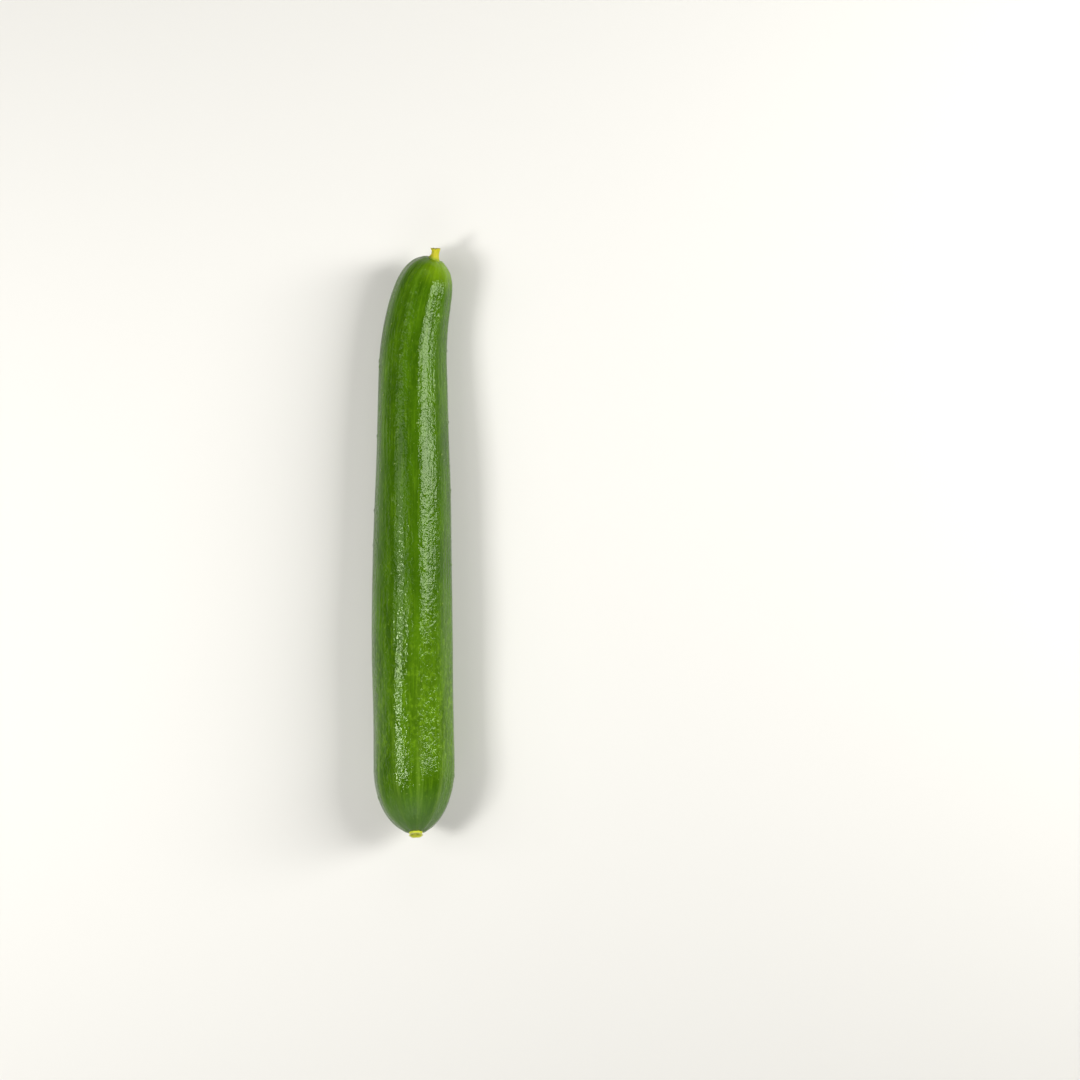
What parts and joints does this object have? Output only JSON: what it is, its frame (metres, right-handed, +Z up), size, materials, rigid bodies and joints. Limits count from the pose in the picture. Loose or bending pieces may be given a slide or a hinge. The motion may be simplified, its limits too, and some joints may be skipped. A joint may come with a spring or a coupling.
{
  "type": "cucumber",
  "caption": "Small smooth-skinned slicing cucumber, slightly bent, with a broken stub of stalk and a flower scar, lying on its side.",
  "frame": {"origin": "on the surface that the cucumber lies on, under the middle of its box", "axes": "+Z up; +Y along the cucumber towards the end with the stalk; +X to the side that both ends bend to"},
  "size_m": [0.0268, 0.1888, 0.0262],
  "materials": {
    "skin": "dark green waxy skin with paler lengthwise streaks, satin to glossy",
    "stalk": "yellow-green dry plant stalk, matt",
    "flower_scar": "pale yellow-green dry scar, matt"
  },
  "bodies": {
    "root": {"fruit": "skin", "stem_stub": "stalk", "blossom_nub": "flower_scar"}
  },
  "joints": []
}
